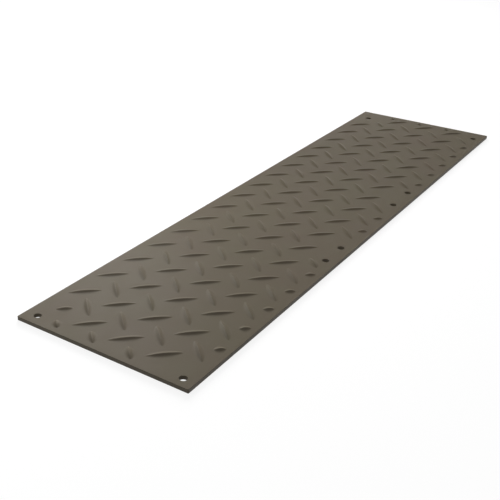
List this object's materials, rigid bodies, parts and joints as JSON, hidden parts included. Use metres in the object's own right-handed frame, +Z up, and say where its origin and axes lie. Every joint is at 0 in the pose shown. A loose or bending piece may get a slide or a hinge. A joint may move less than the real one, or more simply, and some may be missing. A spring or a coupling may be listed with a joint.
{
  "type": "ground protection mat",
  "caption": "Long flat plastic ground mat with a tread of raised slanting lugs on top and fastening holes near its edges.",
  "frame": {"origin": "middle of the underside, on the ground", "axes": "+X along the length, towards the end whose holes are set further in; +Y across the width; +Z up, out of the treaded face"},
  "size_m": [2.4384, 0.6096, 0.0172],
  "materials": {
    "mat": "pressed polyethylene, satin, grey-brown"
  },
  "bodies": {
    "root": {"mat": "mat"}
  },
  "joints": []
}
